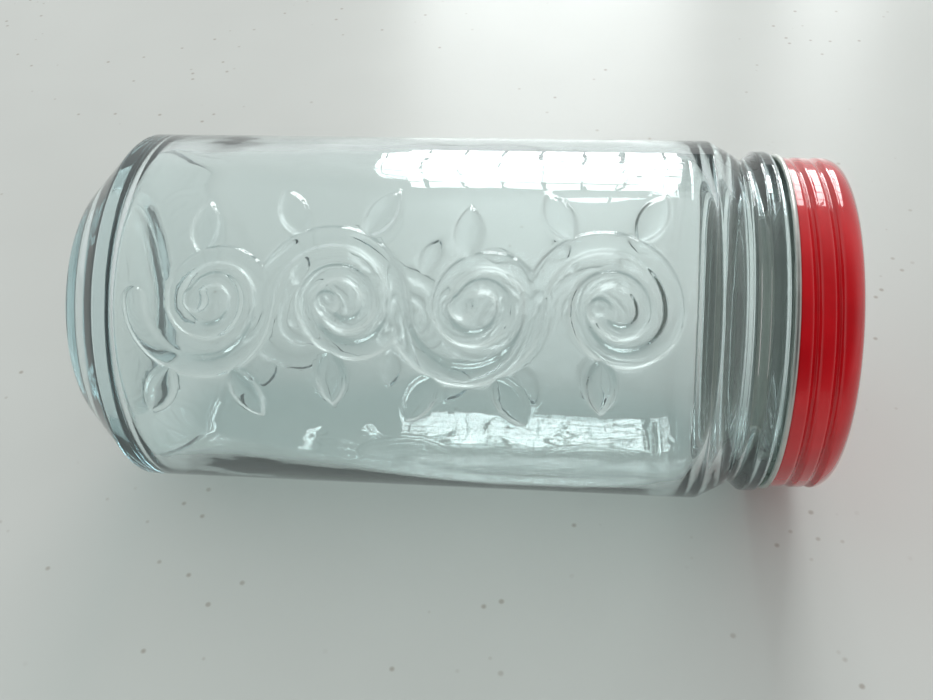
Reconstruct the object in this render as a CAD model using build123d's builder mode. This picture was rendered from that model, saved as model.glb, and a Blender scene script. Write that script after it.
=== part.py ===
"""Coin bank jar: a moulded glass jar with a screw lid of lacquered tinplate.

The jar stands upright on its base. The origin is the middle of the base, +Z runs up
the jar's axis to the lid, and the front relief faces -Y. All sizes are millimetres.
"""
from build123d import *
import os
from math import hypot, pi

# ---- glass jar: body ---------------------------------------------------------------
body_diameter = 96.0  # straight wall, outside
straight_height = 162.5  # base to the edge where the straight wall ends
wall = 4.0  # straight wall thickness
heel_chamfer = 13.0  # sloping heel between base and wall, same each way
heel_round = 2.5  # rounding where the heel meets the wall
shoulder_round = 2.5  # rounding where the wall meets the shoulder
base_thickness = 4.5
push_up = 3.0  # depth of the hollow under the base
bearing_width = 4.0  # ring that the jar stands on
bearing_round = 1.2
inner_round = 7.0  # soft corners of the inside, at the floor

# ---- glass jar: shoulder, neck and screw finish ----------------------------------------
finish_diameter = 82.8  # wall that carries the thread
finish_wall = 4.0
finish_rise = 18.7  # middle of the bead up to the mouth
mouth_round = 1.2
shoulder_rise = 9.0  # wall edge up to the narrowest place of the neck
inner_shoulder_drop = 1.0  # start of the inside of the shoulder, below an even wall
inner_neck_drop = 4.2  # end of the inside of the shoulder, below an even wall: the neck is thick
inner_shoulder_round = 14.0
inner_neck_round = 5.0
neck_step = 1.8  # how far the neck stands out past the finish
neck_reach = 2.0  # height of the hollow curve below the narrowest place
neck_flare = 1.0  # how far the hollow curve widens before the shoulder starts
bead_rise = 4.2  # narrowest place of the neck up to the middle of the bead
bead_step = 4.0  # how far the bead stands out past the finish
bead_width = 6.6
bead_flare = 1.8  # height of the sloping underside of the bead
bead_fall = 0.8  # height of the sloping top of the bead
bead_round = 1.2

# ---- screw thread ------------------------------------------------------------------------
thread_pitch = 5.08
thread_depth = 1.7  # how far the glass thread stands out
thread_crest_width = 1.2
thread_slope = 0.53  # sideways run of a thread flank for each unit of depth
thread_below_mouth = 11.4  # where the glass thread starts, measured down from the mouth
glass_thread_turns = 1.25
lid_thread_turns = 1.55
thread_bite = 0.7  # how far the two threads reach past each other
thread_play = 0.3  # gap on the loaded side of the threads
thread_root = 0.2  # how deep a thread is rooted in its wall

# ---- lid -----------------------------------------------------------------------------------
sheet = 0.4  # tinplate
skirt_play = 0.5  # gap between the crest of the glass thread and the skirt
lid_corner = 4.5  # rounded edge between skirt and top
lid_rim_width = 4.5  # flat rim around the sunk panel
panel_depth = 0.9  # how far the panel is sunk below the rim
panel_round = 0.35
curl_diameter = 1.4  # rolled hem at the bottom of the skirt
curl_play = 0.3  # gap between the crest of the glass thread and the hem
curl_gap = 0.6  # gap between the bead and the hem

# ---- coin slot -------------------------------------------------------------------------------
slot_length = 34.0
slot_width = 5.0
slot_lip = 1.2  # depth of the edge that is turned down into the lid

# ---- sealing ring ------------------------------------------------------------------------------
ring_thickness = 1.3
ring_reach = 1.0  # how far the ring lies past the sunk panel towards the bore
ring_width = 3.9
ring_chamfer = 0.9  # keeps clear of the rounded edge of the lid
seat_gap = 0.1  # gap between ring and glass, and between ring and lid

# ---- raised scroll on the front and the back -----------------------------------------------------
relief = 1.2
relief_root = 0.5  # how deep the relief is rooted in the wall
scroll_middle = 88.0  # height of the middle of the scroll
scroll_bays = 4  # one volute in each bay, on alternate sides
scroll_radius = 16.0  # outermost half turn of each volute
scroll_ratio = 0.68  # each half turn of a volute against the one before
half_turns = 4
stroke_width = 5.0  # widest stroke, in the outermost half turn
stroke_ratio = 0.86  # each half turn's width against the one before
berry_diameter = 5.5
leaf_length = 13.0
leaf_width = 6.5
leaf_spread = 7.5  # distance of the paired leaves from the middle of a bay
leaf_tilt = 30.0

# ---- values that follow from the sizes above -----------------------------------------------------
body_radius = body_diameter / 2
inner_radius = body_radius - wall
base_radius = body_radius - heel_chamfer
bearing_inner = base_radius - bearing_width
finish_radius = finish_diameter / 2
neck_radius = finish_radius + neck_step
bead_radius = finish_radius + bead_step
mouth_radius = finish_radius - finish_wall
neck_z = straight_height + shoulder_rise
bead_z = neck_z + bead_rise
bead_top = bead_z + bead_width / 2
bead_bottom = bead_z - bead_width / 2
mouth_z = bead_z + finish_rise
floor_z = push_up + base_thickness
shoulder_run = body_radius - neck_radius - neck_flare
shoulder_climb = shoulder_rise - neck_reach
wall_across = wall * hypot(shoulder_run, shoulder_climb) / shoulder_climb  # level, in the shoulder
inner_climb = shoulder_climb / shoulder_run
even_shoulder_z = straight_height + (wall - wall_across) * inner_climb
even_neck_z = straight_height + (body_radius - wall_across - mouth_radius) * inner_climb
inner_shoulder_z = even_shoulder_z - inner_shoulder_drop
inner_neck_z = even_neck_z - inner_neck_drop
thread_crest = finish_radius + thread_depth
glass_thread_z = mouth_z - thread_below_mouth

skirt_inner = thread_crest + skirt_play
skirt_outer = skirt_inner + sheet
ring_z = mouth_z + seat_gap
lid_under = ring_z + ring_thickness + seat_gap
lid_top = lid_under + sheet
curl_z = bead_top + curl_gap + curl_diameter / 2
curl_radius = thread_crest + curl_play + curl_diameter / 2
rim_radius = skirt_outer - lid_corner
panel_radius = rim_radius - lid_rim_width
panel_z = lid_top - panel_depth
ring_inner = panel_radius + ring_reach
ring_outer = ring_inner + ring_width

lid_thread_depth = skirt_play + thread_bite
threads_apart = thread_crest_width + thread_bite * thread_slope + thread_play
lid_thread_z = glass_thread_z + thread_pitch / 2 - threads_apart


def thread_line(start_z, turns, radius, start_angle):
    """Right-hand helix that starts at start_angle degrees around the jar, from +X."""
    helix = Helix(thread_pitch, thread_pitch * turns, radius, center=(0, 0, start_z))
    return helix.rotate(Axis.Z, start_angle)


def thread_plane(path):
    """Plane across a helix at its start, x pointing away from the jar's axis."""
    start = path @ 0
    return Plane(origin=start, x_dir=(start.X, start.Y, 0), z_dir=path % 0)


def thread_profile(root, crest, crest_width):
    """Trapezoid from x = root to x = crest, crest_width high at its crest."""
    half_crest = crest_width / 2
    half_root = half_crest + abs(crest - root) * thread_slope
    return [(root, -half_root), (crest, -half_crest), (crest, half_crest), (root, half_root)]


# ---- raised scroll: volutes on alternate sides of a waving stem, with leaves -----------------------
with BuildSketch() as leaf:
    with BuildLine():
        ThreePointArc((0, 0), (leaf_length / 2, leaf_width / 2), (leaf_length, 0))
        ThreePointArc((leaf_length, 0), (leaf_length / 2, -leaf_width / 2), (0, 0))
    make_face()

scroll_start = scroll_middle - scroll_bays * scroll_radius
with BuildSketch() as scroll:
    for bay in range(scroll_bays):
        side = 1 if bay % 2 == 0 else -1
        middle = scroll_start + (2 * bay + 1) * scroll_radius
        centre = middle
        radius = scroll_radius
        width = stroke_width
        for half_turn in range(half_turns):
            upward = 1 if half_turn % 2 == 0 else -1
            turn = CenterArc((0, centre), radius, -90 * upward, 180 * side, mode=Mode.PRIVATE)
            SlotArc(turn, width)
            tip = centre + upward * radius
            radius *= scroll_ratio
            width *= stroke_ratio
            centre = tip - upward * radius
        with Locations((0, tip)):
            Circle(berry_diameter / 2)
        outward = 0 if side > 0 else 180
        with Locations(
            Location((side * scroll_radius, middle + leaf_spread), outward + side * leaf_tilt),
            Location((side * scroll_radius, middle - leaf_spread), outward - side * leaf_tilt),
            Location((-side * scroll_radius * scroll_ratio, middle), outward + 180),
        ):
            add(leaf.sketch)

with BuildPart() as scroll_relief:
    with BuildSketch(Plane.XZ):
        add(scroll.sketch)
    extrude(amount=body_radius + 2 * relief)
    with BuildSketch():
        Circle(body_radius + relief)
        Circle(body_radius - relief_root, mode=Mode.SUBTRACT)
    extrude(amount=straight_height, mode=Mode.INTERSECT)

# ---- glass jar ---------------------------------------------------------------------------------------
glass_path = thread_line(glass_thread_z, glass_thread_turns, finish_radius, 0)
with BuildPart() as glass_jar:
    with BuildSketch(Plane.XZ):
        with BuildLine():
            body = FilletPolyline(
                (bearing_inner, 0),
                (base_radius, 0),
                (body_radius, heel_chamfer),
                (body_radius, straight_height),
                (neck_radius + neck_flare, neck_z - neck_reach),
                radius=(bearing_round, heel_round, shoulder_round),
            )
            neck = ThreePointArc(
                body @ 1,
                (neck_radius, neck_z - neck_reach / 4),
                (neck_radius + neck_flare / 2, bead_bottom),
            )
            bead = FilletPolyline(
                neck @ 1,
                (bead_radius, bead_bottom + bead_flare),
                (bead_radius, bead_top - bead_fall),
                (finish_radius, bead_top),
                radius=bead_round,
            )
            inside = FilletPolyline(
                bead @ 1,
                (finish_radius, mouth_z),
                (mouth_radius, mouth_z),
                (mouth_radius, inner_neck_z),
                (inner_radius, inner_shoulder_z),
                (inner_radius, heel_chamfer + wall),
                (bearing_inner, floor_z - push_up / 2),
                (0, floor_z),
                radius=[mouth_round] * 2 + [inner_neck_round, inner_shoulder_round] + [inner_round] * 2,
            )
            middle_line = Line(inside @ 1, (0, push_up))
            ThreePointArc(middle_line @ 1, (bearing_inner / 2, push_up * 3 / 4), body @ 0)
        make_face()
    revolve(axis=Axis.Z)

    with BuildSketch(thread_plane(glass_path)):
        Polygon(*thread_profile(-thread_root, thread_depth, thread_crest_width), align=None)
    sweep(path=glass_path, is_frenet=True)

    for half_circle in (0, 180):
        add(scroll_relief.part, rotation=(0, 0, half_circle))

glass_jar.part.label = "glass_jar"

# ---- lid: drawn tinplate with a rolled hem, a formed thread and a coin slot ----------------------------
lid_path = thread_line(lid_thread_z, lid_thread_turns, skirt_inner, 180)
with BuildPart() as lid_shell:
    with BuildSketch(Plane.XZ):
        with BuildLine():
            outside = FilletPolyline(
                (skirt_outer, curl_z),
                (skirt_outer, lid_top),
                (panel_radius, lid_top),
                (panel_radius, panel_z),
                (0, panel_z),
                radius=(lid_corner, panel_round, panel_round),
            )
            middle_line = Line(outside @ 1, (0, panel_z - sheet))
            underside = FilletPolyline(
                middle_line @ 1,
                (panel_radius + sheet, panel_z - sheet),
                (panel_radius + sheet, lid_under),
                (skirt_inner, lid_under),
                (skirt_inner, curl_z),
                radius=(panel_round, panel_round, lid_corner - sheet),
            )
            Line(underside @ 1, outside @ 0)
        make_face()
        with Locations((curl_radius, curl_z)):
            Circle(curl_diameter / 2)
    revolve(axis=Axis.Z)

    # the thread is pressed inwards: a ridge inside the skirt, then a groove outside it
    with BuildSketch(thread_plane(lid_path)):
        Polygon(*thread_profile(thread_root, -lid_thread_depth, thread_crest_width), align=None)
    sweep(path=lid_path, is_frenet=True)
    groove_width = thread_crest_width - sheet
    with BuildSketch(thread_plane(lid_path)):
        Polygon(*thread_profile(2 * sheet, sheet - lid_thread_depth, groove_width), align=None)
    sweep(path=lid_path, is_frenet=True, mode=Mode.SUBTRACT)

    with BuildSketch(Plane.XY.offset(panel_z)):
        SlotOverall(slot_length + 2 * sheet, slot_width + 2 * sheet)
    extrude(amount=-sheet - slot_lip)
    with BuildSketch(Plane.XY.offset(panel_z)):
        SlotOverall(slot_length, slot_width)
    extrude(amount=-2 * sheet - slot_lip, mode=Mode.SUBTRACT)

lid_shell.part.label = "lid_shell"

# ---- sealing ring between the mouth and the lid ---------------------------------------------------------
with BuildPart() as sealing_ring:
    with BuildSketch(Plane.XZ):
        with Locations(((ring_inner + ring_outer) / 2, ring_z + ring_thickness / 2)):
            Rectangle(ring_width, ring_thickness)
    revolve(axis=Axis.Z)
    top_edges = sealing_ring.edges().filter_by(GeomType.CIRCLE).group_by(Axis.Z)[-1]
    chamfer(top_edges.sort_by(SortBy.RADIUS)[-1], ring_chamfer)

sealing_ring.part.label = "sealing_ring"

# ---- files ------------------------------------------------------------------------------------------------
os.makedirs("parts", exist_ok=True)
for piece in (glass_jar, lid_shell, sealing_ring):
    export_step(piece.part, f"parts/{piece.part.label}.step")

print("rise for each turn of the lid, m/rad:", thread_pitch / 1000 / (2 * pi))
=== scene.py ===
"""Coin bank jar: a moulded glass jar with a raised vine scroll and a red screw lid.

Laid out as an add-on and run as a script. Everything is in metres, in the frame that the
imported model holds: the jar stands on z = 0 with its front relief towards -Y.
"""
import math

import bpy
import numpy as np
from bpy.props import FloatProperty, FloatVectorProperty, IntProperty, PointerProperty
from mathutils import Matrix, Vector


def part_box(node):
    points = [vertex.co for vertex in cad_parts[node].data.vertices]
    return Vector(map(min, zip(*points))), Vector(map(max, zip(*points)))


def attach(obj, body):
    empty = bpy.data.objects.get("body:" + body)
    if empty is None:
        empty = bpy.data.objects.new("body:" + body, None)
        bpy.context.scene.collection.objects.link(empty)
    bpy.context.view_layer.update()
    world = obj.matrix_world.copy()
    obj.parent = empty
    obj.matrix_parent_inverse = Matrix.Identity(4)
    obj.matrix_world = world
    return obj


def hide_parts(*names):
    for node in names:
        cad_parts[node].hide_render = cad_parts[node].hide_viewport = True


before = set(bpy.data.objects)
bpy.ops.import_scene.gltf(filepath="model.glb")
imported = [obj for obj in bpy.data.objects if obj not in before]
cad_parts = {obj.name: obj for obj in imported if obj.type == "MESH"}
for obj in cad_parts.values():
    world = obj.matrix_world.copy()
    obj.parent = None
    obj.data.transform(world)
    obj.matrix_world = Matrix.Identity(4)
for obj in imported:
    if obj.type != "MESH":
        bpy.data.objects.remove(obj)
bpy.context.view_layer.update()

bl_info = {
    "name": "Coin bank jar",
    "version": (1, 0, 0),
    "blender": (4, 5, 0),
    "location": "View3D > Sidebar > Coin jar",
    "description": "Models a glass coin bank jar, its screw lid and its sealing ring",
    "category": "Add Mesh",
}

MM = 0.001
JAR_LOW, JAR_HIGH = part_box("glass_jar")
LID_LOW, LID_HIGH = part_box("lid_shell")
RING_LOW, RING_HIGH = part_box("sealing_ring")

TURNED_STEPS = {"jar": 136, "lid": 256, "ring": 192}  # faces round each turned piece
PANEL_OPENING = 30 * MM  # the lid is turned up to here, and its panel grows in from it
WINDOW_SIZE = (0.92, 0.62)
WINDOW_MIDDLE_Z = 0.20
LAMP_SIZE = 0.9
TABLE_SIZE = (8, 8)
TABLE_GAP = 0.05 * MM  # keeps the table clear of the relief


def length(name, description, millimetres):
    """A length property, in metres, with its default given in millimetres."""
    return FloatProperty(
        name=name,
        description=description,
        default=millimetres * MM,
        subtype="DISTANCE",
        unit="LENGTH",
        precision=4,
    )


def colour(name, description, rgb):
    """A colour property with three linear values."""
    return FloatVectorProperty(
        name=name, description=description, default=rgb, size=3, subtype="COLOR", min=0, max=1
    )


# ---- sizes and colours that a user would change ------------------------------------------


class JarSizes(bpy.types.PropertyGroup):
    straight_height: length("Straight height", "Base to the end of the straight wall", 162.5)
    wall: length("Wall", "Thickness of the straight wall", 4)
    heel_chamfer: length("Heel", "Sloping heel, same each way", 13)
    heel_round: length("Heel rounding", "Rounding of the heel's upper edge", 2.5)
    bearing_round: length("Bearing rounding", "Rounding of the ring it stands on", 1.2)
    shoulder_round: length("Shoulder rounding", "Rounding of the shoulder's edge", 2.5)
    push_up: length("Push-up", "Depth of the hollow under the base", 3)
    base_thickness: length("Base thickness", "Glass over the hollow of the base", 4.5)
    bearing_width: length("Bearing ring", "Width of the ring that the jar stands on", 4)
    shoulder_rise: length("Shoulder rise", "Wall edge up to the neck", 9)
    inner_shoulder_drop: length("Inner shoulder drop", "Its start below an even wall", 1)
    inner_neck_drop: length("Inner neck drop", "Its end below an even wall", 4.2)
    inner_shoulder_round: length("Inner shoulder rounding", "Inside of the shoulder", 14)
    inner_neck_round: length("Inner neck rounding", "Inside of the neck", 5)
    neck_reach: length("Neck reach", "Height of the hollow curve of the neck", 2)
    neck_radius: length("Neck radius", "Narrowest place of the neck", 43.2)
    neck_flare: length("Neck flare", "How far the hollow curve widens below", 1)
    neck_blend: length("Neck blend", "How far the hollow curve widens above", 0.5)
    bead_radius: length("Bead radius", "Crest of the bead under the lid", 45.4)
    bead_rise: length("Bead rise", "Neck up to the middle of the bead", 4.2)
    bead_width: length("Bead width", "Height of the bead", 6.6)
    bead_flare: length("Bead flare", "Height of the bead's sloping underside", 1.8)
    bead_fall: length("Bead fall", "Height of the bead's sloping top", 0.8)
    bead_round: length("Bead rounding", "Rounding of the bead's edges", 1.2)
    mouth_round: length("Mouth rounding", "Rounding of the mouth's edges", 1.2)
    finish_radius: length("Finish radius", "Wall that carries the thread", 41.4)
    mouth_radius: length("Mouth radius", "Bore of the mouth", 37.4)
    inner_round: length("Inner rounding", "Soft corners of the inside, at the floor", 7)
    waviness: length("Waviness", "How uneven the inside of the wall is", 0.5)


class ThreadSizes(bpy.types.PropertyGroup):
    pitch: length("Pitch", "Rise of one turn", 5.08)
    depth: length("Glass thread depth", "How far the glass thread stands out", 1.7)
    below_mouth: length("Start below mouth", "Where the glass thread starts", 11.4)
    glass_turns: FloatProperty(name="Glass turns", description="Turns on the glass", default=1.25)
    lid_turns: FloatProperty(name="Lid turns", description="Turns in the lid", default=1.55)
    lid_depth: length("Lid thread depth", "How deep the thread is pressed into the lid", 1.2)
    apart: length("Threads apart", "Lid thread below the glass thread", 1.871)


class ScrollSizes(bpy.types.PropertyGroup):
    relief: length("Relief", "How far the scroll stands out", 1.2)
    middle: length("Middle", "Height of the middle of the scroll", 88)
    bays: IntProperty(name="Bays", description="Volutes along the jar", default=4, min=1)
    radius: length("Volute radius", "Outermost half turn of a volute", 16)
    ratio: FloatProperty(name="Ratio", description="Each half turn against the last", default=0.68)
    half_turns: IntProperty(name="Half turns", description="Half turns of a volute", default=4)
    stroke: length("Stroke", "Widest stroke", 5)
    stroke_ratio: FloatProperty(name="Thinning", description="Stroke thinning", default=0.86)
    berry: length("Berry", "Diameter of the berry in a volute", 5.5)
    leaf_length: length("Leaf length", "Length of a leaf", 13)
    leaf_width: length("Leaf width", "Width of a leaf", 6.5)
    leaf_spread: length("Leaf spread", "Paired leaves from the middle of a bay", 7.5)
    leaf_tilt: FloatProperty(
        name="Leaf tilt", description="Tilt of the paired leaves", default=math.radians(30),
        subtype="ANGLE", unit="ROTATION",
    )
    softness: length("Softness", "Width over which an edge of the relief rises", 1.2)
    back_softness: length("Back softness", "The same at the worn back of the jar", 2.4)


class LidSizes(bpy.types.PropertyGroup):
    sheet: length("Sheet", "Thickness of the tinplate", 0.4)
    skirt_radius: length("Skirt radius", "Outside of the skirt", 44)
    corner: length("Corner", "Rounded edge between skirt and top", 4.5)
    rim_width: length("Rim width", "Flat rim around the sunk panel", 4.5)
    panel_depth: length("Panel depth", "How far the panel is sunk", 0.9)
    curl_diameter: length("Hem", "Rolled hem at the bottom of the skirt", 1.4)
    slot_length: length("Slot length", "Coin slot, end to end", 34)
    slot_width: length("Slot width", "Coin slot, side to side", 5)
    slot_lip: length("Slot lip", "Depth of the turned-down edge of the slot", 1.2)


class RingSizes(bpy.types.PropertyGroup):
    width: length("Ring width", "Bore to the outer edge", 3.9)
    chamfer: length("Ring chamfer", "Sloping upper edge, clear of the lid's rounded corner", 0.9)


class Finishes(bpy.types.PropertyGroup):
    glass_tint: colour(
        "Glass edge tint", "Colour of light after a long way in glass", (0.30, 0.70, 0.77)
    )
    glass_density: FloatProperty(
        name="Glass density", description="How fast the tint builds up, for each metre", default=13.0
    )
    lacquer: colour("Lacquer", "Red lacquer of the lid", (0.58, 0.006, 0.012))
    tin: colour("Bare tin", "Tinplate of the rolled hem", (0.60, 0.61, 0.58))
    sealing: colour("Sealing ring", "Soft ring in the lid", (0.62, 0.62, 0.56))
    table: colour("Table", "Pale table top", (0.585, 0.605, 0.585))
    inside: colour("Inside of the lid", "Grey coating inside the lid", (0.31, 0.34, 0.29))


class StageSettings(bpy.types.PropertyGroup):
    camera_place: FloatVectorProperty(
        name="Camera place", description="Where the camera is", default=(0.0092, -0.2900, 0.1291),
        size=3, subtype="TRANSLATION", unit="LENGTH", precision=4,
    )
    camera_angles: FloatVectorProperty(
        name="Camera angles", description="The camera's turn about X, Y and Z",
        default=tuple(math.radians(a) for a in (-17.845, -83.926, 107.751)),
        size=3, subtype="EULER", unit="ROTATION",
    )
    lens: FloatProperty(name="Lens", description="Focal length in millimetres", default=40.34)
    table_lean: FloatProperty(
        name="Table lean", description="Table against the camera's view, about the jar's axis",
        default=math.radians(44), subtype="ANGLE", unit="ROTATION",
    )
    window_rise: FloatProperty(
        name="Window rise", description="Height of the window over the table's edge",
        default=math.radians(31), subtype="ANGLE", unit="ROTATION",
    )
    window_distance: length("Window distance", "From the jar to the window", 1200)
    window_power: FloatProperty(name="Window power", description="Light in watts", default=29.0)
    window_glow: FloatProperty(name="Window glow", description="Glow of the panes", default=11.0)
    room_far: FloatProperty(name="Room, far side", description="Away from the window", default=0.60)
    room_near: FloatProperty(name="Room, window side", description="By the window", default=0.78)
    room_front: FloatProperty(
        name="Room, front dimming", description="Less light in the gloss of what faces the front",
        default=0.62,
    )


# ---- modelling helpers --------------------------------------------------------------------


def deselect():
    """Leaves nothing selected, in object mode."""
    if bpy.context.mode != "OBJECT":
        bpy.ops.object.mode_set(mode="OBJECT")
    bpy.ops.object.select_all(action="DESELECT")


def activate(piece):
    """Selects one piece alone and makes it active."""
    deselect()
    piece.select_set(True)
    bpy.context.view_layer.objects.active = piece


def select_faces(piece, chosen):
    """Selects the faces where chosen is true, and enters edit mode."""
    activate(piece)
    bpy.context.tool_settings.mesh_select_mode = (False, False, True)
    mesh = piece.data
    mesh.vertices.foreach_set("select", np.zeros(len(mesh.vertices), bool))
    mesh.edges.foreach_set("select", np.zeros(len(mesh.edges), bool))
    mesh.polygons.foreach_set("select", np.asarray(chosen, bool))
    bpy.ops.object.mode_set(mode="EDIT")


def points_of(piece):
    """The piece's vertices as an array of rows x, y, z."""
    places = np.empty(len(piece.data.vertices) * 3)
    piece.data.vertices.foreach_get("co", places)
    return places.reshape(-1, 3)


def face_centres(piece):
    """The centres of the piece's faces as an array of rows x, y, z."""
    centres = np.empty(len(piece.data.polygons) * 3)
    piece.data.polygons.foreach_get("center", centres)
    return centres.reshape(-1, 3)


def place_points(piece, places):
    """Moves the piece's vertices to these places."""
    piece.data.vertices.foreach_set("co", np.ascontiguousarray(places).ravel())
    piece.data.update()


def smoothstep(x):
    """0 below 0, 1 above 1, and a smooth rise between."""
    x = np.clip(x, 0, 1)
    return x * x * (3 - 2 * x)


def straight(start, end, spacing):
    """Evenly spaced points after start, up to and with end."""
    steps = max(1, math.ceil(math.dist(start, end) / spacing))
    return [
        tuple(a + (b - a) * i / steps for a, b in zip(start, end)) for i in range(1, steps + 1)
    ]


def rounded_path(corners, radii, spacing, arc_spacing):
    """(radius, height) points along straight runs joined by tangent arcs, one for each inner corner."""
    path = [corners[0]]
    for before, corner, after, radius in zip(corners, corners[1:], corners[2:], radii):
        corner_at = Vector(corner)
        to_before = (Vector(before) - corner_at).normalized()
        to_after = (Vector(after) - corner_at).normalized()
        half = to_before.angle(to_after) / 2
        reach = radius / math.tan(half)
        centre = corner_at + (to_before + to_after).normalized() * (radius / math.sin(half))
        first = corner_at + to_before * reach
        last = corner_at + to_after * reach
        path += straight(path[-1], tuple(first), spacing)
        turn = math.pi - 2 * half
        steps = max(2, math.ceil(radius * turn / arc_spacing))
        start, end = first - centre, last - centre
        for i in range(1, steps + 1):
            share = i / steps
            mixed = (
                start * math.sin((1 - share) * turn) + end * math.sin(share * turn)
            ) / math.sin(turn)
            path.append(tuple(centre + mixed))
    return path + straight(path[-1], corners[-1], spacing)


def arc_through(start, middle, end, steps):
    """Points after start on the circle through three points, up to and with end."""
    a, b, c = complex(*start), complex(*middle), complex(*end)
    w = (c - a) / (b - a)
    centre = (b - a) * (w - abs(w) ** 2) / (2j * w.imag) + a
    first = a - centre
    sweep = math.atan2(((c - centre) / first).imag, ((c - centre) / first).real)
    half = math.atan2(((b - centre) / first).imag, ((b - centre) / first).real)
    if sweep * half < 0:
        sweep += math.copysign(2 * math.pi, half)
    turned = [
        centre + first * complex(math.cos(sweep * i / steps), math.sin(sweep * i / steps))
        for i in range(1, steps + 1)
    ]
    return [(point.real, point.imag) for point in turned]


def turned(name, profile, steps):
    """A piece turned on the jar's axis from (radius, height) points, as on a lathe."""
    deselect()
    bpy.ops.mesh.primitive_plane_add(size=MM, location=(profile[0][0], 0, profile[0][1]))
    piece = bpy.context.active_object
    piece.name = name
    piece.data.name = name
    bpy.ops.object.transform_apply(location=True, rotation=True, scale=True)
    bpy.context.tool_settings.mesh_select_mode = (True, False, False)
    bpy.ops.object.mode_set(mode="EDIT")
    bpy.ops.mesh.select_all(action="SELECT")
    bpy.ops.mesh.merge(type="CENTER")
    for (radius, height), (next_radius, next_height) in zip(profile, profile[1:]):
        step = (next_radius - radius, 0, next_height - height)
        bpy.ops.mesh.extrude_region_move(TRANSFORM_OT_translate={"value": step})
    bpy.ops.mesh.select_all(action="SELECT")
    bpy.ops.mesh.spin(steps=steps, angle=2 * math.pi, center=(0, 0, 0), axis=(0, 0, 1))
    bpy.ops.mesh.select_all(action="SELECT")
    bpy.ops.mesh.remove_doubles(threshold=0.002 * MM)
    bpy.ops.mesh.normals_make_consistent(inside=False)
    bpy.ops.object.mode_set(mode="OBJECT")
    bpy.ops.object.shade_smooth()
    return piece


def helix_bump(angle, height, start_angle, start_height, turns, pitch, half_width, fade):
    """How much of a thread is at each point, from 0 to 1, with ends that fade out."""
    most = np.zeros_like(height)
    for lap in range(math.ceil(turns) + 1):
        along = np.mod(angle - start_angle, 2 * math.pi) + 2 * math.pi * lap
        middle = start_height + pitch * along / (2 * math.pi)
        inside = smoothstep(along / fade) * smoothstep((turns * 2 * math.pi - along) / fade)
        across = np.clip(np.abs(height - middle) / half_width, 0, 1)
        most = np.maximum(most, inside * (0.5 + 0.5 * np.cos(math.pi * across)))
    return most


# ---- materials --------------------------------------------------------------------------------


class Nodes:
    """Adds shader nodes to a new material and links them."""

    def __init__(self, name):
        self.material = bpy.data.materials.new(name)
        self.material.use_nodes = True
        self.tree = self.material.node_tree
        self.tree.nodes.clear()

    def add(self, kind, settings=None, **inputs):
        """A node with its settings, and its inputs set to values or linked to sockets."""
        node = self.tree.nodes.new("ShaderNode" + kind)
        for key, value in (settings or {}).items():
            setattr(node, key, value)
        for key, value in inputs.items():
            socket = node.inputs[int(key[1:])] if key[0] == "_" else node.inputs[key.replace("_", " ")]
            if isinstance(value, bpy.types.NodeSocket):
                self.tree.links.new(value, socket)
            else:
                socket.default_value = value
        return node

    def ramp(self, factor, stops):
        """A colour ramp through (position, colour) stops."""
        node = self.add("ValToRGB", Fac=factor)
        elements = node.color_ramp.elements
        for (position, rgb), index in zip(stops, range(len(stops))):
            element = elements[index] if index < 2 else elements.new(position)
            element.position = position
            element.color = (*rgb, 1)
        return node.outputs["Color"]

    def mottled(self, factor, rgb, darker, lighter):
        """A colour that varies between two (position, share) stops of itself."""
        stops = (darker, lighter)
        return self.ramp(factor, [(at, tuple(min(1, c * share) for c in rgb)) for at, share in stops])

    def done(self, surface, volume=None):
        """Joins the surface, and the volume if there is one, to the output."""
        output = self.add("OutputMaterial", Surface=surface)
        if volume is not None:
            self.tree.links.new(volume, output.inputs["Volume"])
        return self.material


def glass_material(looks):
    """Clear soda-lime glass whose thick edges turn blue-green."""
    nodes = Nodes("clear_glass")
    place = nodes.add("TexCoord").outputs["Object"]
    ripple = nodes.add("TexNoise", Vector=place, Scale=55.0, Detail=2.0, Roughness=0.45)
    fine = nodes.add("TexNoise", Vector=place, Scale=420.0, Detail=1.0)
    height = nodes.add(
        "Math", {"operation": "MULTIPLY_ADD"}, _0=fine.outputs["Fac"], _1=0.05, _2=ripple.outputs["Fac"]
    )
    bump = nodes.add("Bump", Strength=0.18, Distance=0.0006, Height=height.outputs[0])
    glass = nodes.add(
        "BsdfPrincipled",
        Base_Color=(0.965, 1.0, 0.995, 1),
        Roughness=0.012,
        IOR=1.5,
        Transmission_Weight=0.968,
        Normal=bump.outputs["Normal"],
    )
    clear = nodes.add("BsdfTransparent", Color=(0.875, 0.90, 0.89, 1))
    path = nodes.add("LightPath")
    both = nodes.add(
        "MixShader",
        _0=path.outputs["Is Shadow Ray"],
        _1=glass.outputs[0],
        _2=clear.outputs[0],
    )
    inside = nodes.add(
        "VolumeAbsorption", Color=(*looks.glass_tint, 1), Density=looks.glass_density
    )
    return nodes.done(both.outputs[0], inside.outputs[0])


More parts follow.
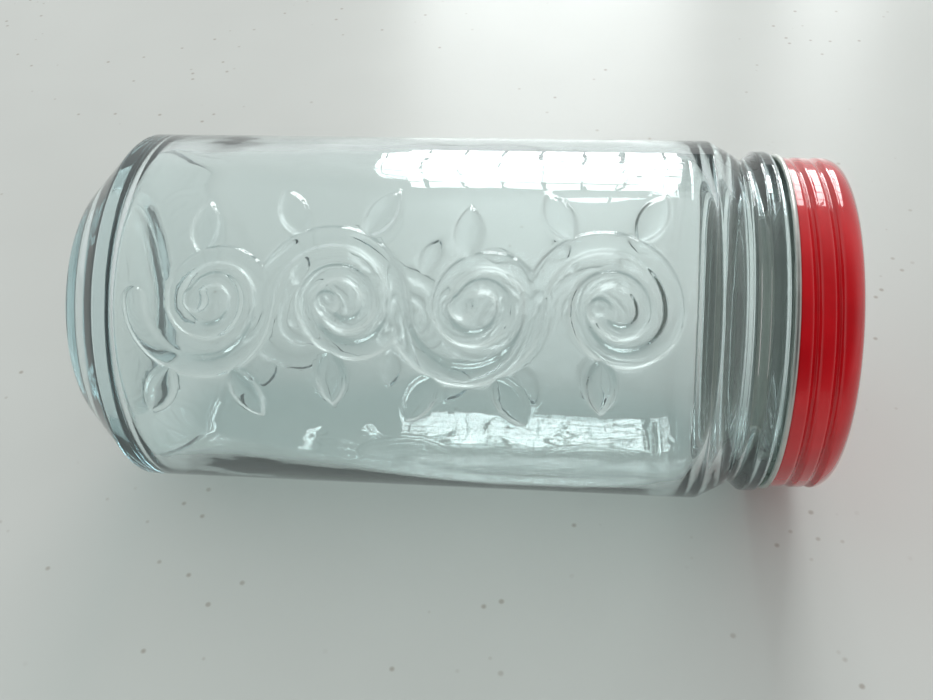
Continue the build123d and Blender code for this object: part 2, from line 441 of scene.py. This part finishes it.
def lacquer_material(looks):
    """Glossy red lacquer on tinplate, with a slight orange peel and a little dust."""
    nodes = Nodes("red_lacquer")
    place = nodes.add("TexCoord").outputs["Object"]
    patches = nodes.add("TexNoise", Vector=place, Scale=60.0, Detail=3.0, Roughness=0.6)
    base = nodes.mottled(patches.outputs["Fac"], looks.lacquer, (0.35, 0.86), (0.65, 1.1))
    peel = nodes.add("TexNoise", Vector=place, Scale=900.0, Detail=2.0)
    smear = nodes.add("TexNoise", Vector=place, Scale=35.0, Detail=4.0, Roughness=0.7)
    shine = nodes.add(
        "MapRange", Value=smear.outputs["Fac"], _1=0.35, _2=0.7, _3=0.10, _4=0.24
    )
    bump = nodes.add("Bump", Strength=0.04, Distance=0.0002, Height=peel.outputs["Fac"])
    lacquer = nodes.add(
        "BsdfPrincipled",
        Base_Color=base,
        Roughness=shine.outputs[0],
        Specular_IOR_Level=0.2,
        Coat_Weight=1.0,
        Coat_Roughness=0.025,
        Normal=bump.outputs["Normal"],
    )
    return nodes.done(lacquer.outputs[0])


def coating_material(looks):
    """Matt grey coating inside the lid, slightly mottled."""
    nodes = Nodes("inner_coating")
    place = nodes.add("TexCoord").outputs["Object"]
    mottle = nodes.add("TexNoise", Vector=place, Scale=140.0, Detail=4.0, Roughness=0.6)
    base = nodes.mottled(mottle.outputs["Fac"], looks.inside, (0.3, 0.85), (0.7, 1.12))
    bump = nodes.add("Bump", Strength=0.15, Distance=0.0002, Height=mottle.outputs["Fac"])
    coat = nodes.add("BsdfPrincipled", Base_Color=base, Roughness=0.55, Normal=bump.outputs["Normal"])
    return nodes.done(coat.outputs[0])


def tin_material(looks):
    """Bare tinplate of the hem: a soft metal shine with rolling marks."""
    nodes = Nodes("bare_tin")
    place = nodes.add("TexCoord").outputs["Object"]
    grain = nodes.add("TexNoise", Vector=place, Scale=260.0, Detail=3.0)
    base = nodes.mottled(grain.outputs["Fac"], looks.tin, (0.3, 0.85), (0.7, 1.05))
    shine = nodes.add("MapRange", Value=grain.outputs["Fac"], _1=0.3, _2=0.7, _3=0.30, _4=0.45)
    bump = nodes.add("Bump", Strength=0.08, Distance=0.0001, Height=grain.outputs["Fac"])
    metal = nodes.add(
        "BsdfPrincipled",
        Base_Color=base,
        Metallic=0.85,
        Roughness=shine.outputs[0],
        Normal=bump.outputs["Normal"],
    )
    return nodes.done(metal.outputs[0])


def sealing_material(looks):
    """Soft sealing compound, matt and slightly mottled."""
    nodes = Nodes("sealing_compound")
    place = nodes.add("TexCoord").outputs["Object"]
    mottle = nodes.add("TexNoise", Vector=place, Scale=220.0, Detail=3.0)
    base = nodes.mottled(mottle.outputs["Fac"], looks.sealing, (0.3, 0.9), (0.7, 1.05))
    bump = nodes.add("Bump", Strength=0.2, Distance=0.0002, Height=mottle.outputs["Fac"])
    soft = nodes.add("BsdfPrincipled", Base_Color=base, Roughness=0.62, Normal=bump.outputs["Normal"])
    return nodes.done(soft.outputs[0])


def table_material(looks):
    """Pale table top with faint clouds and specks, seen from its upper side only."""
    nodes = Nodes("pale_table")
    place = nodes.add("TexCoord").outputs["Object"]
    clouds = nodes.add("TexNoise", Vector=place, Scale=6.0, Detail=3.0, Roughness=0.6)
    base = nodes.mottled(clouds.outputs["Fac"], looks.table, (0.3, 0.96), (0.7, 1.03))
    cells = nodes.add("TexVoronoi", Vector=place, Scale=120.0, Randomness=1.0)
    specks = nodes.add("MapRange", Value=cells.outputs["Distance"], _1=0.05, _2=0.12, _3=0.6, _4=0.0)
    rare = nodes.add("TexNoise", Vector=place, Scale=22.0, Detail=1.0)
    where = nodes.add("MapRange", Value=rare.outputs["Fac"], _1=0.46, _2=0.54, _3=0.0, _4=1.0)
    amount = nodes.add("Math", {"operation": "MULTIPLY"}, _0=specks.outputs[0], _1=where.outputs[0])
    mixed = nodes.add("Mix", {"data_type": "RGBA"})
    nodes.tree.links.new(amount.outputs[0], mixed.inputs["Factor"])
    nodes.tree.links.new(base, mixed.inputs[6])
    mixed.inputs[7].default_value = (0.30, 0.26, 0.22, 1)
    top = nodes.add(
        "BsdfPrincipled", Base_Color=mixed.outputs[2], Roughness=0.25, Specular_IOR_Level=0.12
    )
    gone = nodes.add("BsdfTransparent")
    side = nodes.add("NewGeometry")
    both = nodes.add(
        "MixShader", _0=side.outputs["Backfacing"], _1=top.outputs[0], _2=gone.outputs[0]
    )
    return nodes.done(both.outputs[0])


def window_material(glow):
    """Bright panes between dark bars, seen only in gloss and through glass."""
    nodes = Nodes("window_panes")
    place = nodes.add("TexCoord").outputs["Object"]
    parts = nodes.add("SeparateXYZ", _0=place)

    def panes(socket, width, offset):
        shifted = nodes.add("Math", {"operation": "ADD"}, _0=socket, _1=offset)
        within = nodes.add("Math", {"operation": "PINGPONG"}, _0=shifted.outputs[0], _1=width / 2)
        return nodes.add("Math", {"operation": "GREATER_THAN"}, _0=within.outputs[0], _1=width * 0.05)

    columns = panes(parts.outputs["Z"], 0.055, 0.03)
    rows = panes(parts.outputs["Y"], 0.16, 0.05)
    grid = nodes.add("Math", {"operation": "MULTIPLY"}, _0=columns.outputs[0], _1=rows.outputs[0])
    pier = nodes.add("Math", {"operation": "COMPARE"}, _0=parts.outputs["Z"], _1=0.34, _2=0.07)
    both = nodes.add("Math", {"operation": "SUBTRACT"}, _0=grid.outputs[0], _1=pier.outputs[0])
    both.use_clamp = True
    path = nodes.add("LightPath")
    first = nodes.add("Math", {"operation": "LESS_THAN"}, _0=path.outputs["Diffuse Depth"], _1=0.5)
    shown = nodes.add("Math", {"operation": "MULTIPLY"}, _0=both.outputs[0], _1=first.outputs[0])
    strength = nodes.add("Math", {"operation": "MULTIPLY"}, _0=shown.outputs[0], _1=glow)
    light = nodes.add("Emission", Color=(0.96, 1.0, 1.0, 1), Strength=strength.outputs[0])
    return nodes.done(light.outputs[0])


# ---- glass jar ----------------------------------------------------------------------------------


def jar_profile(jar):
    """(radius, height) points around the jar's wall, from the middle of the base and back."""
    body = JAR_HIGH[0]
    mouth_z = JAR_HIGH[2]
    base = body - jar.heel_chamfer
    bearing = base - jar.bearing_width
    neck_z = jar.straight_height + jar.shoulder_rise
    bead_z = neck_z + jar.bead_rise
    bead_low = (jar.neck_radius + jar.neck_blend, bead_z - jar.bead_width / 2)
    bead_high = (jar.finish_radius, bead_z + jar.bead_width / 2)
    neck_start = (jar.neck_radius + jar.neck_flare, neck_z - jar.neck_reach)
    floor_z = jar.push_up + jar.base_thickness
    wide, fine = 2.3 * MM, 0.5 * MM

    hollow = arc_through((0, jar.push_up), (bearing / 2, jar.push_up * 0.75), (bearing, 0), 16)
    path = [(0, jar.push_up)] + hollow
    path += rounded_path(
        [(bearing, 0), (base, 0), (body, jar.heel_chamfer), (body, jar.straight_height), neck_start],
        [jar.bearing_round, jar.heel_round, jar.shoulder_round],
        wide,
        fine,
    )[1:]
    path += arc_through(path[-1], (jar.neck_radius, neck_z - jar.neck_reach / 4), bead_low, 9)
    thread_start = (jar.finish_radius, bead_high[1] + 0.9 * MM)
    path += rounded_path(
        [
            path[-1],
            (jar.bead_radius, bead_low[1] + jar.bead_flare),
            (jar.bead_radius, bead_high[1] - jar.bead_fall),
            bead_high,
            thread_start,
        ],
        [jar.bead_round, jar.bead_round, 0.5 * MM],
        fine,
        0.35 * MM,
    )[1:]
    path += rounded_path(
        [
            thread_start,
            (jar.finish_radius, mouth_z),
            (jar.mouth_radius, mouth_z),
            (jar.mouth_radius, bead_z),
        ],
        [jar.mouth_round, jar.mouth_round],
        0.45 * MM,
        0.4 * MM,
    )[1:]
    run = body - jar.neck_radius - jar.neck_flare
    climb = jar.shoulder_rise - jar.neck_reach
    across = jar.wall * math.hypot(run, climb) / climb
    slope = climb / run
    inner = body - jar.wall
    even_shoulder_z = jar.straight_height + (jar.wall - across) * slope
    even_neck_z = jar.straight_height + (body - across - jar.mouth_radius) * slope
    path += rounded_path(
        [
            path[-1],
            (jar.mouth_radius, even_neck_z - jar.inner_neck_drop),
            (inner, even_shoulder_z - jar.inner_shoulder_drop),
            (inner, jar.heel_chamfer + jar.wall),
            (bearing, floor_z - jar.push_up / 2),
            (0, floor_z),
        ],
        [jar.inner_neck_round, jar.inner_shoulder_round, jar.inner_round, jar.inner_round],
        3.2 * MM,
        1.2 * MM,
    )[1:]
    return path


def scroll_distance(across, height, scroll):
    """How far each point is from the edge of the vine scroll, negative inside it.

    The scroll is a waving stem whose every bay curls into a volute, on alternate sides,
    with a berry in its eye and three leaves around it.
    """
    nearest = np.full_like(across, 1.0)
    first = scroll.middle - scroll.bays * scroll.radius
    for bay in range(scroll.bays):
        side = 1 if bay % 2 == 0 else -1
        middle = first + (2 * bay + 1) * scroll.radius
        centre, radius, width = middle, scroll.radius, scroll.stroke
        for half_turn in range(scroll.half_turns):
            upward = 1 if half_turn % 2 == 0 else -1
            bulge = side * upward
            start, tip = centre - upward * radius, centre + upward * radius
            share = (height - start) / (tip - start)
            thinner = width * scroll.stroke_ratio
            half = (width + (thinner - width) * np.clip(share, 0, 1)) / 2
            ring = np.abs(np.hypot(across, height - centre) - radius)
            ends = np.minimum(np.hypot(across, height - start), np.hypot(across, height - tip))
            stroke = np.where(across * bulge >= 0, ring, ends) - half
            nearest = np.minimum(nearest, stroke)
            radius *= scroll.ratio
            width = thinner
            centre = tip - upward * radius
        berry = np.hypot(across, height - tip) - scroll.berry / 2
        nearest = np.minimum(nearest, berry)
        tilt = scroll.leaf_tilt
        leaves = (
            (side * scroll.radius, middle + scroll.leaf_spread, side, tilt),
            (side * scroll.radius, middle - scroll.leaf_spread, side, -tilt),
            (-side * scroll.radius * scroll.ratio, middle, -side, 0),
        )
        for leaf_x, leaf_z, outward, lean in leaves:
            dx, dz = (across - leaf_x) * outward, height - leaf_z
            along = dx * math.cos(lean) + dz * math.sin(lean) - scroll.leaf_length / 2
            aside = np.abs(dz * math.cos(lean) - dx * math.sin(lean))
            half_length, half_width = scroll.leaf_length / 2, scroll.leaf_width / 2
            bow = (half_length**2 + half_width**2) / (2 * half_width)
            leaf = np.hypot(along, aside + bow - half_width) - bow
            nearest = np.minimum(nearest, leaf)
    return nearest


def relief_height(distance, softness, scroll):
    """Height of the relief for each distance from its edge: a soft rise, then a low crown."""
    rise = smoothstep(0.5 - distance / softness)
    crown = smoothstep(-distance / (scroll.stroke / 2))
    return scroll.relief * (0.8 * rise + 0.2 * crown)


class JAR_OT_glass(bpy.types.Operator):
    """Models the moulded glass jar with its raised scroll, thread and uneven wall"""

    bl_idname = "coin_jar.glass"
    bl_label = "Glass jar"

    def execute(self, context):
        scene = context.scene
        jar, scroll, thread = scene.jar_sizes, scene.scroll_sizes, scene.thread_sizes
        piece = turned("jar_glass", jar_profile(jar), TURNED_STEPS["jar"])
        body = JAR_HIGH[0]

        for margin, depth in ((1.8 * MM, 3 * MM), (0.9 * MM, 1.2 * MM), (0.45 * MM, 0.45 * MM)):
            centres = face_centres(piece)
            outside = np.hypot(centres[:, 0], centres[:, 1]) > body - jar.wall / 2
            edge = scroll_distance(centres[:, 0], centres[:, 2], scroll)
            near = (edge < margin) & (edge > -depth)
            select_faces(piece, outside & near & (np.abs(centres[:, 1]) > body / 2))
            bpy.ops.mesh.subdivide(number_cuts=1)
            bpy.ops.object.mode_set(mode="OBJECT")

        places = points_of(piece)
        radius = np.hypot(places[:, 0], places[:, 1])
        angle = np.arctan2(places[:, 1], places[:, 0])
        height = places[:, 2]
        target = radius.copy()

        straight_wall = (radius > body - 0.1 * MM) | (
            (radius > body - jar.wall / 2) & (np.abs(height - scroll.middle) < 70 * MM)
        )
        sunk = scroll_distance(places[:, 0], height, scroll)
        on_face = np.abs(places[:, 1]) > body / 2
        softness = np.where(places[:, 1] < 0, scroll.softness, scroll.back_softness)
        raised = np.where(on_face, relief_height(sunk, softness, scroll), 0)
        target = np.where(straight_wall, body + raised, target)

        finish_start = jar.straight_height + jar.shoulder_rise + jar.bead_rise + jar.bead_width / 2
        on_finish = (height > finish_start - 0.1 * MM) & (radius > jar.finish_radius - 0.2 * MM)
        lap = helix_bump(
            angle, height, 0, JAR_HIGH[2] - thread.below_mouth, thread.glass_turns, thread.pitch,
            1.6 * MM, math.radians(30),
        )
        target = np.where(on_finish, target + thread.depth * lap, target)

        within = (radius < body - jar.wall / 2) & (height > 16 * MM)
        swell = smoothstep((height - 18 * MM) / (30 * MM))
        swell *= smoothstep((jar.straight_height - 8 * MM - height) / (20 * MM))
        wave = (
            0.9 * np.cos(2 * angle + 0.7)
            + 0.5 * np.cos(3 * angle + 1.9 + height / (45 * MM))
            + 0.3 * np.sin(5 * angle + height / (28 * MM))
        )
        for side, low_turn, high_turn, sway in ((-1, 44, 41, 1.5), (1, 38, 66, 2.5)):
            share = smoothstep((height - 10 * MM) / (100 * MM))
            turn = np.radians(low_turn + (high_turn - low_turn) * share)
            turn += np.radians(sway) * np.sin(height / (17 * MM) + side)
            across = (angle - (side * turn - math.pi / 2)) * body
            wave += 1.4 * (smoothstep(across * side / (3.8 * MM) + 0.5) - 0.5)
            wave -= 1.4 * (smoothstep(across * side / (26 * MM)) - 0.5)
        wave += 0.12 * np.sin(height / (3.3 * MM) + 3 * np.sin(2 * angle)) * np.cos(3 * angle + 1)
        target = np.where(within, target + jar.waviness * swell * wave, target)

        scale = np.where(radius > 1e-6, target / np.maximum(radius, 1e-6), 1)
        places[:, 0] *= scale
        places[:, 1] *= scale
        place_points(piece, places)
        piece.data.materials.append(glass_material(scene.finishes))
        activate(piece)
        bpy.ops.object.shade_smooth()
        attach(piece, "jar")
        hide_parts("glass_jar")
        return {"FINISHED"}


# ---- lid ------------------------------------------------------------------------------------------


def lid_profile(lid):
    """(radius, height) points around the tinplate, from the panel's top round the hem and back."""
    top = LID_HIGH[2]
    sheet = lid.sheet
    curl = lid.curl_diameter / 2
    curl_z = LID_LOW[2] + curl
    curl_radius = LID_HIGH[0] - curl
    rim = lid.skirt_radius - lid.corner
    panel = rim - lid.rim_width
    panel_z = top - lid.panel_depth
    fold = 0.45 * MM
    outside = rounded_path(
        [
            (PANEL_OPENING, panel_z),
            (panel, panel_z),
            (panel, top),
            (lid.skirt_radius, top),
            (lid.skirt_radius, curl_z + curl),
        ],
        [fold, fold, lid.corner],
        0.4 * MM,
        0.2 * MM,
    )
    hem = [
        (curl_radius + curl * math.cos(a), curl_z + curl * math.sin(a))
        for a in (math.radians(100 - 22 * i) for i in range(15))
    ]
    inner_skirt = lid.skirt_radius - sheet
    inside = rounded_path(
        [
            (inner_skirt, curl_z + curl),
            (inner_skirt, top - sheet),
            (panel + sheet, top - sheet),
            (panel + sheet, panel_z - sheet),
            (PANEL_OPENING, panel_z - sheet),
        ],
        [lid.corner - sheet, fold, fold],
        0.4 * MM,
        0.2 * MM,
    )
    return outside + hem + inside


def slot_outline(lid, offset, count):
    """Points round the coin slot at equal steps, this far outside its edge, from +X."""
    radius = lid.slot_width / 2 + offset
    half = (lid.slot_length - lid.slot_width) / 2
    quarter = math.pi * radius / 2
    around = 4 * half + 4 * quarter
    points = []
    for i in range(count):
        way = around * i / count
        if way < quarter:
            turn = way / radius
            points.append((half + radius * math.cos(turn), radius * math.sin(turn)))
        elif way < quarter + 2 * half:
            points.append((half - (way - quarter), radius))
        elif way < 3 * quarter + 2 * half:
            turn = math.pi / 2 + (way - quarter - 2 * half) / radius
            points.append((-half + radius * math.cos(turn), radius * math.sin(turn)))
        elif way < 3 * quarter + 4 * half:
            points.append((-half + (way - 3 * quarter - 2 * half), -radius))
        else:
            turn = -math.pi / 2 + (way - 3 * quarter - 4 * half) / radius
            points.append((half + radius * math.cos(turn), radius * math.sin(turn)))
    return np.array(points)


class JAR_OT_lid(bpy.types.Operator):
    """Models the drawn tinplate lid with its pressed thread, rolled hem and coin slot"""

    bl_idname = "coin_jar.lid"
    bl_label = "Lid"

    def execute(self, context):
        scene = context.scene
        lid, thread = scene.lid_sizes, scene.thread_sizes
        steps = TURNED_STEPS["lid"]
        piece = turned("lid_tinplate", lid_profile(lid), steps)
        panel_z = LID_HIGH[2] - lid.panel_depth
        self.close_panel(piece, lid, steps, panel_z)

        places = points_of(piece)
        radius = np.hypot(places[:, 0], places[:, 1])
        angle = np.arctan2(places[:, 1], places[:, 0])
        start = JAR_HIGH[2] - thread.below_mouth + thread.pitch / 2 - thread.apart
        groove = helix_bump(
            angle, places[:, 2], math.pi, start, thread.lid_turns, thread.pitch,
            1.35 * MM, math.radians(28),
        )
        hem_top = LID_LOW[2] + lid.curl_diameter + 0.2 * MM
        on_skirt = (radius > lid.skirt_radius - 2 * MM) & (places[:, 2] > hem_top)
        target = np.where(on_skirt, radius - thread.lid_depth * groove, radius)
        scale = target / radius
        places[:, 0] *= scale
        places[:, 1] *= scale
        place_points(piece, places)

        piece.data.materials.append(lacquer_material(scene.finishes))
        piece.data.materials.append(coating_material(scene.finishes))
        piece.data.materials.append(tin_material(scene.finishes))
        self.paint(piece, lid)
        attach(piece, "lid")
        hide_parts("lid_shell")
        return {"FINISHED"}

    def close_panel(self, piece, lid, steps, panel_z):
        """Grows the panel in from its open edge and turns it down round the coin slot."""
        sheet = lid.sheet
        lip_z = panel_z - sheet - lid.slot_lip
        loops = [
            (0.9 * MM, panel_z),
            (0.45 * MM, panel_z - 0.06 * MM),
            (0.13 * MM, panel_z - 0.22 * MM),
            (0.0, panel_z - 0.55 * MM),
            (0.0, lip_z + 0.15 * MM),
            (0.08 * MM, lip_z),
            (sheet - 0.08 * MM, lip_z),
            (sheet, lip_z + 0.15 * MM),
            (sheet, panel_z - sheet - 0.5 * MM),
            (sheet + 0.15 * MM, panel_z - sheet - 0.15 * MM),
            (sheet + 0.6 * MM, panel_z - sheet),
        ]
        activate(piece)
        places = points_of(piece)
        radius = np.hypot(places[:, 0], places[:, 1])
        edge = (np.abs(radius - PANEL_OPENING) < 0.01 * MM) & (places[:, 2] > panel_z - sheet / 2)
        bpy.context.tool_settings.mesh_select_mode = (True, False, False)
        mesh = piece.data
        mesh.polygons.foreach_set("select", np.zeros(len(mesh.polygons), bool))
        mesh.edges.foreach_set("select", np.zeros(len(mesh.edges), bool))
        mesh.vertices.foreach_set("select", edge)
        turn = np.mod(np.arctan2(places[edge, 1], places[edge, 0]), 2 * math.pi)
        index = np.round(turn / (2 * math.pi) * steps).astype(int) % steps
        evenly = np.arange(steps) * 2 * math.pi / steps
        circle = np.c_[np.cos(evenly), np.sin(evenly)] * PANEL_OPENING
        outlines = [(slot_outline(lid, offset, steps), z) for offset, z in loops]
        outlines.append((circle, panel_z - sheet))
        for outline, z in outlines:
            bpy.ops.object.mode_set(mode="EDIT")
            bpy.ops.mesh.extrude_region_move(TRANSFORM_OT_translate={"value": (0, 0, -0.5)})
            bpy.ops.object.mode_set(mode="OBJECT")
            places = points_of(piece)
            new = places[:, 2] < LID_LOW[2] - 0.2
            places[new] = np.c_[outline[index], np.full(len(index), z)]
            place_points(piece, places)
        activate(piece)
        bpy.ops.object.mode_set(mode="EDIT")
        bpy.ops.mesh.select_all(action="SELECT")
        bpy.ops.mesh.remove_doubles(threshold=0.004 * MM)
        bpy.ops.mesh.normals_make_consistent(inside=False)
        bpy.ops.object.mode_set(mode="OBJECT")
        bpy.ops.object.shade_smooth()

    def paint(self, piece, lid):
        """Lacquer on the outside, a grey coating inside, bare tin on the hem."""
        mesh = piece.data
        centres = face_centres(piece)
        normals = np.empty(len(mesh.polygons) * 3)
        mesh.polygons.foreach_get("normal", normals)
        normals = normals.reshape(-1, 3)
        radius = np.hypot(centres[:, 0], centres[:, 1])
        outward = (normals[:, 0] * centres[:, 0] + normals[:, 1] * centres[:, 1]) / radius
        hem_top = LID_LOW[2] + lid.curl_diameter
        skirt = (radius > lid.skirt_radius - 3 * MM) & (outward > 0) & (centres[:, 2] > hem_top)
        above = (normals[:, 2] > 0.02) & (centres[:, 2] > LID_HIGH[2] - lid.corner)
        panel = lid.skirt_radius - lid.corner - lid.rim_width
        step = (np.abs(radius - panel) < 0.3 * MM) & (outward < 0)
        red = skirt | above | (step & (centres[:, 2] > LID_HIGH[2] - lid.panel_depth))
        hem = (centres[:, 2] < hem_top) & (outward > -0.2)
        kind = np.where(red, 0, np.where(hem, 2, 1))
        mesh.polygons.foreach_set("material_index", kind.astype(np.int32))


class JAR_OT_ring(bpy.types.Operator):
    """Models the soft sealing ring between the mouth and the lid"""

    bl_idname = "coin_jar.ring"
    bl_label = "Sealing ring"

    def execute(self, context):
        ring = context.scene.ring_sizes
        low, high = RING_LOW[2], RING_HIGH[2]
        outer, inner = RING_HIGH[0], RING_HIGH[0] - ring.width
        profile = rounded_path(
            [
                ((inner + outer) / 2, low),
                (outer, low),
                (outer, high - ring.chamfer),
                (outer - ring.chamfer, high),
                (inner, high),
                (inner, low),
                ((inner + outer) / 2, low),
            ],
            [0.3 * MM, 0.2 * MM, 0.2 * MM, 0.4 * MM, 0.4 * MM],
            0.4 * MM,
            0.15 * MM,
        )
        piece = turned("soft_ring", profile, TURNED_STEPS["ring"])
        piece.data.materials.append(sealing_material(context.scene.finishes))
        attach(piece, "ring")
        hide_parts("sealing_ring")
        return {"FINISHED"}


# ---- stage -------------------------------------------------------------------------------------------


class JAR_OT_stage(bpy.types.Operator):
    """Lays the jar on its side on a pale table, by a window, with the camera above it"""

    bl_idname = "coin_jar.stage"
    bl_label = "Stage"

    def execute(self, context):
        scene = context.scene
        stage = scene.stage_settings
        lean = stage.table_lean
        up = Vector((-math.sin(lean), -math.cos(lean), 0))
        under = -up * (JAR_HIGH[1] + TABLE_GAP)
        table = self.plate("table", under, up, TABLE_SIZE)
        table.data.materials.append(table_material(scene.finishes))

        turn = lean + math.pi / 2 - stage.window_rise
        towards = Vector((-math.sin(turn), -math.cos(turn), 0))
        place = towards * stage.window_distance + Vector((0, 0, WINDOW_MIDDLE_Z))
        window = self.plate("window_panes", place, -towards, WINDOW_SIZE)
        window.data.materials.append(window_material(stage.window_glow))
        window.visible_camera = False
        window.visible_diffuse = False
        window.visible_shadow = False
        self.softbox("window_light", place * 2, LAMP_SIZE, stage.window_power)
        self.room(scene, towards)

        camera = bpy.data.objects.new("camera", bpy.data.cameras.new("camera"))
        scene.collection.objects.link(camera)
        camera.location = stage.camera_place
        camera.rotation_euler = stage.camera_angles
        camera.data.lens = stage.lens
        camera.data.sensor_width = 36
        camera.data.clip_start = 0.01
        scene.camera = camera
        scene.view_settings.view_transform = "Standard"
        return {"FINISHED"}

    def plate(self, name, place, facing, size):
        """A flat plate at a place, facing a direction square to Z, its length across Z."""
        deselect()
        bpy.ops.mesh.primitive_plane_add(size=1, location=(0, 0, 0))
        plate = bpy.context.active_object
        plate.name = name
        mesh = plate.data
        across = Vector((0, 0, 1)).cross(facing)
        for vertex in mesh.vertices:
            x, y = vertex.co.x, vertex.co.y
            vertex.co = Vector(place) + across * x * size[0] + Vector((0, 0, y * size[1]))
        mesh.update()
        return plate

    def room(self, scene, towards):
        """A pale room: brightest beside the window, dimmer behind the camera."""
        stage = scene.stage_settings
        world = bpy.data.worlds.new("room")
        scene.world = world
        world.use_nodes = True
        tree = world.node_tree
        direction = tree.nodes.new("ShaderNodeTexCoord").outputs["Generated"]

        def reading(name, axis, low, high, at_low, at_high):
            dot = tree.nodes.new("ShaderNodeVectorMath")
            dot.name = name
            dot.operation = "DOT_PRODUCT"
            tree.links.new(direction, dot.inputs[0])
            dot.inputs[1].default_value = axis
            spread = tree.nodes.new("ShaderNodeMapRange")
            spread.interpolation_type = "SMOOTHSTEP"
            tree.links.new(dot.outputs["Value"], spread.inputs["Value"])
            for index, value in enumerate((low, high, at_low, at_high), start=1):
                spread.inputs[index].default_value = value
            return spread.outputs[0]

        beside = reading("beside", tuple(towards), -0.9, 0.9, stage.room_far, stage.room_near)
        front = reading("front", (0, -1, 0), 0.2, 0.95, 0.0, stage.room_front)
        path = tree.nodes.new("ShaderNodeLightPath")

        def maths(operation, *values):
            node = tree.nodes.new("ShaderNodeMath")
            node.operation = operation
            for socket, value in zip(node.inputs, values):
                tree.links.new(value, socket)
            return node.outputs[0]

        through = maths("MINIMUM", path.outputs["Transmission Depth"], path.outputs["Is Glossy Ray"])
        on_skin = maths("SUBTRACT", path.outputs["Is Glossy Ray"], through)
        strength = maths("SUBTRACT", beside, maths("MULTIPLY", front, on_skin))
        background = tree.nodes["Background"]
        background.inputs["Color"].default_value = (0.98, 1.0, 0.985, 1)
        tree.links.new(maths("ABSOLUTE", strength), background.inputs["Strength"])

    def softbox(self, name, place, size, power):
        """A square area light at a place, turned towards the jar."""
        light = bpy.data.lights.new(name, "AREA")
        light.shape = "SQUARE"
        light.size = size
        light.energy = power
        lamp = bpy.data.objects.new(name, light)
        bpy.context.scene.collection.objects.link(lamp)
        lamp.location = place
        middle = (Vector(JAR_LOW) + Vector(LID_HIGH)) / 2
        lamp.rotation_euler = (Vector(place) - middle).to_track_quat("Z", "Y").to_euler()
        lamp.visible_glossy = False
        lamp.visible_transmission = False


class JAR_PT_panel(bpy.types.Panel):
    """Lists the sizes, the finishes and the pieces"""

    bl_idname = "JAR_PT_panel"
    bl_label = "Coin bank jar"
    bl_space_type = "VIEW_3D"
    bl_region_type = "UI"
    bl_category = "Coin jar"

    def draw(self, context):
        for operator in PIECES:
            self.layout.operator(operator.bl_idname)
        for name in GROUPS:
            group = getattr(context.scene, name)
            box = self.layout.box()
            for key in group.__annotations__:
                box.prop(group, key)


GROUPS = {
    "jar_sizes": JarSizes,
    "thread_sizes": ThreadSizes,
    "scroll_sizes": ScrollSizes,
    "lid_sizes": LidSizes,
    "ring_sizes": RingSizes,
    "finishes": Finishes,
    "stage_settings": StageSettings,
}
PIECES = (JAR_OT_glass, JAR_OT_lid, JAR_OT_ring, JAR_OT_stage)


def register():
    for group in GROUPS.values():
        bpy.utils.register_class(group)
    for name, group in GROUPS.items():
        setattr(bpy.types.Scene, name, PointerProperty(type=group))
    for operator in PIECES:
        bpy.utils.register_class(operator)
    bpy.utils.register_class(JAR_PT_panel)


def unregister():
    bpy.utils.unregister_class(JAR_PT_panel)
    for operator in reversed(PIECES):
        bpy.utils.unregister_class(operator)
    for name, group in reversed(list(GROUPS.items())):
        delattr(bpy.types.Scene, name)
        bpy.utils.unregister_class(group)


def main():
    register()
    bpy.ops.coin_jar.glass()
    bpy.ops.coin_jar.lid()
    bpy.ops.coin_jar.ring()
    bpy.ops.coin_jar.stage()


if __name__ == "__main__":
    main()
